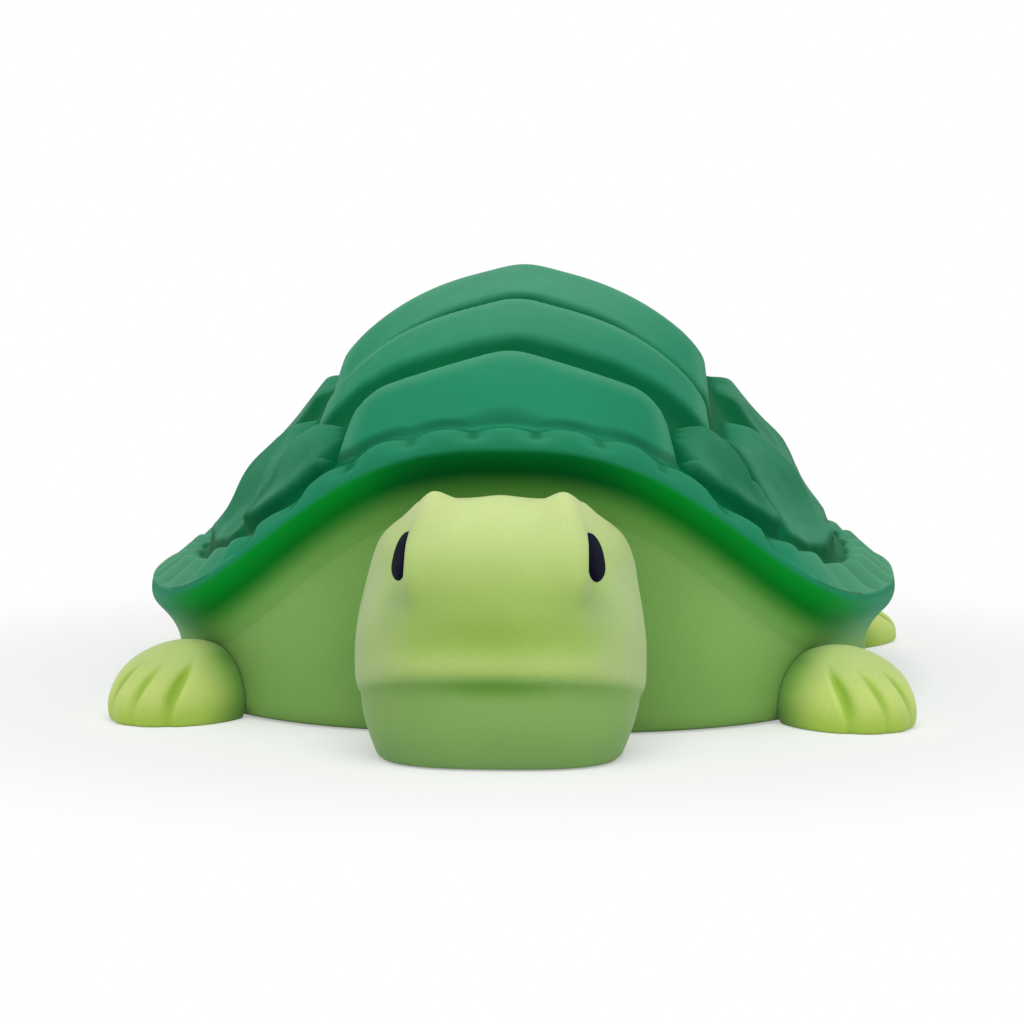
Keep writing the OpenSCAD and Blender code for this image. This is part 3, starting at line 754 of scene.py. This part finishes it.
def make_foot(name, foot, side):
    """A paw whose crown leans back to the body, with grooves that fan out between four toes."""
    columns, rows, lean_power = 200, 60, 1.5
    length, width, height = foot["size"]
    profile = smooth_rows(foot_profile, rows)
    up, out = profile[:, :1], profile[:, 1:]
    turn = full_turn(columns)[None]
    # The grooves curve towards the body as they rise, and the one beside the inner toe is the deepest
    plain_degrees = np.degrees(np.mod(turn + np.pi, 2 * np.pi) - np.pi)
    degrees = plain_degrees + toe_twist * up**toe_twist_power
    inner, *others = foot["toes"]
    cut = toe_cut(degrees, inner, inner_toe_groove) + sum(toe_cut(degrees, toe, toe_groove) for toe in others)
    crease = ease(0.93, 0.55, up) * (0.4 + 0.6 * ease(0.05, 0.5, up)) * cut
    reach = out * (1 - toe_groove_depth * crease)
    x = length * reach * np.cos(turn) + foot["lean"] * up**lean_power
    y = width * reach * np.sin(turn)
    heading = np.radians(foot["turn"])
    at_x, at_y = plan_point(np.radians(foot["place"]), 1, *(body_half + foot["out"]))
    px = at_x + x * np.cos(heading) - y * np.sin(heading)
    py = at_y + x * np.sin(heading) + y * np.cos(heading)
    rings = keep_off_body(np.stack([side * px, py, height * up * np.ones_like(px)], -1))

    # Painted shade close to the body and on the side that faces it
    share = np.hypot(rings[..., 0] / body_half[0], (rings[..., 1] - shell_mid_y) / body_half[1])
    inside_degrees = -135
    from_inside = np.abs(np.mod(plain_degrees - inside_degrees + 180, 360) - 180)
    inner_side = ease(68, 12, from_inside) * ease(1.0, 0.8, up)
    shade_by_body = np.maximum(ease(1.12, 1.03, share), inner_side)
    paint = {"crease": crease, "height": rings[..., 2], "shade_by_body": shade_by_body}
    return loft(name.replace("foot", "soft_foot"), rings, paint)


def make_tail():
    """A stubby cone that starts inside the body's wall and bends down to a point."""
    columns, rows = 60, 30
    into_body, lift, droop = 1, 0.3, 2.2
    taper, taper_power, tip_power = 0.985, 2.2, 0.7
    turn = full_turn(columns)
    root_y = shell_mid_y + body_half[1] - into_body
    radius = (tail_high[0] - tail_low[0]) / 2
    rings = []
    for along in np.linspace(0, 1, rows):
        size = radius * (1 - taper * along**taper_power) ** tip_power
        middle_z = radius + lift - droop * along**2
        y = mix(root_y, tail_high[1], along) * np.ones(columns)
        rings.append(np.stack([size * np.cos(turn), y, middle_z + size * np.sin(turn)], -1))
    rings = np.array(rings)
    plain = np.zeros(rings.shape[:2])
    return loft("turtle_tail", rings, {"crease": plain, "shade_by_body": plain, "height": rings[..., 2]})


# Materials

# Sockets of a colour mix node, whose names are shared by other kinds of data
MIX_AMOUNT, MIX_FIRST, MIX_SECOND, MIX_RESULT = 0, 6, 7, 2
white_light = (1, 1, 1, 1)


def paint_colour(red, green, blue):
    """A colour of a paint, from its screen value of 0 to 255, as a linear colour."""
    value = np.array([red, green, blue]) / 255
    linear = np.where(value <= 0.04045, value / 12.92, ((value + 0.055) / 1.055) ** 2.4)
    return (*map(float, linear), 1.0)


class Nodes:
    """Adds nodes to a node tree. Their inputs are values or other nodes' outputs."""

    def __init__(self, tree):
        self.tree = tree

    def node(self, kind, inputs=None, **settings):
        made = self.tree.nodes.new(kind)
        for key, value in settings.items():
            setattr(made, key, value)
        self.feed(made, inputs or {})
        return made

    def feed(self, made, inputs):
        for key, value in inputs.items():
            if isinstance(value, bpy.types.NodeSocket):
                self.tree.links.new(value, made.inputs[key])
            else:
                made.inputs[key].default_value = value

    def math(self, operation, first, second):
        return self.node("ShaderNodeMath", {0: first, 1: second}, operation=operation).outputs[0]

    def span(self, value, low, high, start=0.0, end=1.0):
        """Smooth step from start, where the value is low, to end, where it is high."""
        inputs = {"Value": value, "From Min": low, "From Max": high, "To Min": start, "To Max": end}
        return self.node("ShaderNodeMapRange", inputs, interpolation_type="SMOOTHSTEP").outputs["Result"]

    def choose(self, amount, first, second):
        return self.node("ShaderNodeMixShader", {0: amount, 1: first, 2: second}).outputs[0]

    def seen_ray(self):
        """1 for a ray that shows the surface to the camera, straight, mirrored or through glass."""
        path = self.node("ShaderNodeLightPath").outputs
        mirrored = self.math("MAXIMUM", path["Is Camera Ray"], path["Is Glossy Ray"])
        return self.math("MAXIMUM", mirrored, path["Is Transmission Ray"])


class Finish(Nodes):
    """A node material of a piece, painted by its point values."""

    def __init__(self, name):
        self.material = bpy.data.materials.new(name)
        self.material.use_nodes = True
        super().__init__(self.material.node_tree)
        self.shader = self.tree.nodes["Principled BSDF"]
        self.place = self.node("ShaderNodeTexCoord").outputs["Object"]

    def value(self, name):
        return self.node("ShaderNodeAttribute", attribute_name=name).outputs["Fac"]

    def noise(self, scale, detail):
        made = self.node("ShaderNodeTexNoise", {"Vector": self.place, "Scale": scale, "Detail": detail})
        return made.outputs["Fac"]

    def blend(self, amount, first, second, mode="MIX"):
        inputs = {MIX_AMOUNT: amount, MIX_FIRST: first, MIX_SECOND: second}
        return self.node("ShaderNodeMix", inputs, data_type="RGBA", blend_type=mode).outputs[MIX_RESULT]

    def wash(self, name, strength, colour, paint):
        """Paint over a colour, as strong as a point value times a strength."""
        return self.blend(self.math("MULTIPLY", self.value(name), strength), colour, paint)

    def skin(self, colour, roughness=(0.55, 0.68), sheen=0.2, grain=0.035, soft=0.12, shine=0.2):
        """Matte moulded skin: fine grain, uneven dullness, cloudy colour and a soft sheen."""
        cloud = self.span(self.noise(38.0, 4.0), 0.3, 0.7, 0.93, 1.05)
        speck = self.span(self.noise(3600.0, 2.0), 0.25, 0.75, 0.97, 1.03)
        tone = self.math("MULTIPLY", cloud, speck)
        shade = self.node("ShaderNodeCombineColor", {"Red": tone, "Green": tone, "Blue": tone})
        colour = self.blend(1.0, colour, shade.outputs["Color"], "MULTIPLY")
        rough = self.span(self.noise(240.0, 4.0), 0.3, 0.7, *roughness)
        bumps = self.node("ShaderNodeBump", {"Height": self.noise(1700.0, 4.0), "Strength": 0.35,
                                             "Distance": grain * MM})
        self.feed(self.shader, {"Base Color": colour, "Roughness": rough, "Normal": bumps.outputs["Normal"],
                                "Sheen Weight": sheen, "Sheen Roughness": 0.5,
                                "Subsurface Weight": soft, "Subsurface Scale": 1.2 * MM,
                                "Subsurface Radius": (1.0, 1.0, 0.5), "Specular IOR Level": shine})
        return self.material


plate_paint = paint_colour(38, 138, 100)
# Lighter plate green, painted light towards the top of the shell
lit_plate_paint = paint_colour(84, 158, 124)
# Dark green of the seams, also used as painted shade in the grooves and on shaded flanks
groove_paint = paint_colour(0, 100, 58)
# The rim's edge over the head in painted shade; the bright green is the rim's own paint
rim_paint = paint_colour(0, 104, 44)
bright_rim_paint = paint_colour(4, 146, 44)
# Painted shade under the rim's edge, over the head and at the sides
rim_deep_shade_paint = paint_colour(0, 90, 38)
rim_shade_paint = paint_colour(4, 122, 32)
body_paint = paint_colour(140, 184, 100)


def rim_fade(made, colour):
    """The rim's green, sprayed over the edge in front and fading out down the body, with painted shade under
    the rim, beside the head and towards the floor.
    """
    belly, shade_by_head = paint_colour(130, 174, 90), paint_colour(116, 166, 78)
    side_body, side_shade_paint = paint_colour(158, 192, 136), paint_colour(96, 160, 116)
    below, facing = made.value("below_rim"), made.value("facing")
    in_front = made.span(facing, 0.42, 0.68)
    over_head = made.span(facing, 0.92, 0.99)
    # The rim's edge in painted shade over the head
    edge = made.blend(over_head, bright_rim_paint, rim_paint)
    edge = made.blend(in_front, made.blend(0.5, plate_paint, lit_plate_paint), edge)
    # Painted shade under the rim's edge, deepest over the head
    shade = made.blend(over_head, rim_shade_paint, rim_deep_shade_paint)
    shade = made.blend(in_front, side_shade_paint, shade)
    wall = made.blend(in_front, side_body, body_paint)
    # Painted shade on the body beside the head
    wall = made.blend(made.math("MULTIPLY", made.span(facing, 0.8, 0.96), 0.6), wall, shade_by_head)
    # Painted shade on the body towards the floor
    wall = made.blend(made.span(made.value("height"), 14.0, 0.0), wall, belly)
    wall = made.blend(made.span(below, 11.0, 5.0, 0.0, 0.34), wall, bright_rim_paint)
    colour = made.blend(made.span(below, 0.1, 1.1), colour, edge)
    colour = made.blend(made.span(below, 1.6, 3.6), colour, shade)
    return made.blend(made.span(below, 3.2, 7.0), colour, wall)


def shell_finish():
    made = Finish("shell_airbrush_and_painted_light")
    flare_sheen, crest_highlight = paint_colour(88, 156, 120), paint_colour(104, 172, 138)
    wander = made.span(made.noise(120.0, 3.0), 0.3, 0.7, -0.08, 0.08)
    hollow = made.math("ADD", made.value("groove"), wander)
    # Lighter towards the top: painted light on the upper shell
    top = made.span(made.value("height"), 44.0, 60.0, 0.0, 0.8)
    colour = made.blend(top, plate_paint, lit_plate_paint)
    # Painted sheen on the flare and painted highlight on the crests
    colour = made.wash("flare_sheen", 0.85, colour, flare_sheen)
    colour = made.wash("crest_highlight", 0.35, colour, crest_highlight)
    # Dark green in the seams, partly sprayed paint and partly painted shade
    colour = made.blend(made.span(hollow, 0.05, 0.8), colour, groove_paint)
    return made.skin(rim_fade(made, colour), sheen=0.0, soft=0.05, shine=0.03)


def body_finish():
    made = Finish("body_skin")
    return made.skin(rim_fade(made, body_paint), sheen=0.0, soft=0.05)


def core_finish():
    made = Finish("core_foam")
    cells = made.span(made.noise(900.0, 2.0), 0.35, 0.65)
    colour = made.blend(cells, paint_colour(214, 208, 176), paint_colour(240, 236, 214))
    return made.skin(colour, roughness=(0.85, 0.95), grain=0.4)


def head_finish():
    made = Finish("head_skin")
    face, crown, cheek = paint_colour(164, 196, 98), paint_colour(206, 224, 148), paint_colour(176, 202, 136)
    muzzle, under_eye_shade = paint_colour(146, 184, 72), paint_colour(140, 172, 116)
    chin, chin_floor_shade, crease = paint_colour(138, 178, 96), paint_colour(110, 156, 84), paint_colour(98, 156, 44)
    # Pale paint with painted sheen on the crown, and a painted highlight along the lip
    colour = made.blend(made.value("crown"), face, crown)
    colour = made.wash("cheek", 0.8, colour, cheek)
    colour = made.wash("muzzle", 0.75, colour, muzzle)
    # Painted shade below the eyes
    colour = made.wash("under_eye_shade", 0.6, colour, under_eye_shade)
    colour = made.blend(made.value("chin"), colour, chin)
    # Painted shade towards the floor
    colour = made.blend(made.span(made.value("height"), 7.0, 0.0, 0.0, 0.6), colour, chin_floor_shade)
    # Painted shadow in the crease under the lip's middle
    colour = made.blend(made.span(made.value("crease"), 0.0, 1.0, 0.0, 0.7), colour, crease)
    return made.skin(colour)


def foot_finish():
    made = Finish("foot_skin")
    top, middle, low = paint_colour(186, 209, 122), paint_colour(202, 222, 122), paint_colour(178, 210, 82)
    crease = paint_colour(154, 192, 62)
    shade_by_body, floor_shade = paint_colour(104, 160, 58), paint_colour(66, 122, 40)
    height = made.value("height")
    colour = made.blend(made.span(height, 0.0, 4.5), low, middle)
    colour = made.blend(made.span(height, 4.5, 8.5), colour, top)
    # Painted shade in the toe grooves
    colour = made.blend(made.span(made.value("crease"), 0.1, 1.2), colour, crease)
    # Painted shade by the body, deeper towards the floor
    shade = made.blend(made.span(height, 5.0, 0.0), shade_by_body, floor_shade)
    colour = made.blend(made.value("shade_by_body"), colour, shade)
    return made.skin(colour)


def eye_finish():
    made = Finish("eye_navy")
    cloud = made.span(made.noise(300.0, 3.0), 0.3, 0.7)
    colour = made.blend(cloud, paint_colour(3, 5, 26), paint_colour(10, 12, 38))
    return made.skin(colour, roughness=(0.5, 0.62), sheen=0.0, grain=0.02, soft=0.0, shine=0.06)


# The pieces on their bodies


def dress(piece, material, nodes, body=None):
    piece.data.materials.append(material)
    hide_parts(*nodes)
    if body:
        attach(piece, body)
    return piece


def make_turtle():
    dress(make_shell(), shell_finish(), ["shell"], "shell")
    dress(make_body(), body_finish(), ["body"], "body")
    core = dress(make_core(), core_finish(), ["foam_core"], "body")
    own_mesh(core)
    head = dress(make_head(), head_finish(), ["head"])
    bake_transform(head)
    eye_material = eye_finish()
    for name, side in (("left_eye", 1), ("right_eye", -1)):
        dress(make_eye(name, side), eye_material, [name], "head")
    foot_material = foot_finish()
    for ends, foot in (("front", front_foot), ("rear", rear_foot)):
        for hand, side in (("left", 1), ("right", -1)):
            name = f"{ends}_{hand}_foot"
            piece = dress(make_foot(name, foot, side), foot_material, [name], "body")
            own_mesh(piece)
    tail = dress(make_tail(), foot_material, ["tail"], "body")
    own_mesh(tail)


# Stage, light and camera, in metres


def make_floor():
    """Pale paper that shows the toy's shadow, and turns to plain white further out."""
    half = 3.0
    fade_start, fade_end, least_white = 0.068, 0.12, 0.4
    paper_grey = (0.93, 0.93, 0.93, 1)
    mesh = bpy.data.meshes.new("floor")
    corners = [(-half, -half, 0), (half, -half, 0), (half, half, 0), (-half, half, 0)]
    mesh.from_pydata(corners, [], [(0, 1, 2, 3)])
    floor = bpy.data.objects.new("floor", mesh)
    bpy.context.collection.objects.link(floor)
    material = bpy.data.materials.new("floor_paper")
    material.use_nodes = True
    material.node_tree.nodes.clear()
    made = Nodes(material.node_tree)
    place = made.node("ShaderNodeTexCoord").outputs["Object"]
    far = made.node("ShaderNodeVectorMath", {0: place}, operation="LENGTH").outputs["Value"]
    fade = made.span(far, fade_start, fade_end, least_white)
    paper = made.node("ShaderNodeBsdfDiffuse", {"Color": paper_grey}).outputs[0]
    white = made.node("ShaderNodeEmission", {"Color": white_light, "Strength": 1.0}).outputs[0]
    surface = made.choose(made.math("MULTIPLY", made.seen_ray(), fade), paper, white)
    made.node("ShaderNodeOutputMaterial", {"Surface": surface})
    mesh.materials.append(material)


def look_along(direction):
    return Vector(direction).to_track_quat("-Z", "Y").to_euler()


def make_light():
    """A white room that lights the toy from all sides, and one soft lamp above its face."""
    room_strength, seen_strength = 0.5, 1.0
    world = bpy.data.worlds.new("studio")
    bpy.context.scene.world = world
    world.use_nodes = True
    world.node_tree.nodes.clear()
    made = Nodes(world.node_tree)
    room, seen = (made.node("ShaderNodeBackground", {"Color": white_light, "Strength": strength}).outputs[0]
                  for strength in (room_strength, seen_strength))
    made.node("ShaderNodeOutputWorld", {"Surface": made.choose(made.seen_ray(), room, seen)})

    lamp = bpy.data.lights.new("key", "AREA")
    lamp.size = 0.7
    lamp.energy = 4.4
    holder = bpy.data.objects.new("key", lamp)
    lamp_at = Vector((0.03, -0.3, 0.85))
    holder.location = lamp_at
    holder.rotation_euler = look_along(-lamp_at)
    bpy.context.collection.objects.link(holder)


def make_camera():
    """The photo's view: in front, a little to the turtle's left and looking slightly down."""
    camera = bpy.data.cameras.new("camera")
    camera.sensor_width = 36.0
    camera.lens = 123.4
    holder = bpy.data.objects.new("camera", camera)
    holder.location = (0.0256, -0.485, 0.083)
    aside, down = np.radians(3.19), np.radians(6.9)
    direction = (-np.sin(aside) * np.cos(down), np.cos(aside) * np.cos(down), -np.sin(down))
    holder.rotation_euler = look_along(direction)
    bpy.context.collection.objects.link(holder)
    bpy.context.scene.camera = holder


make_turtle()
make_floor()
make_light()
make_camera()
bpy.context.scene.view_settings.view_transform = "Standard"
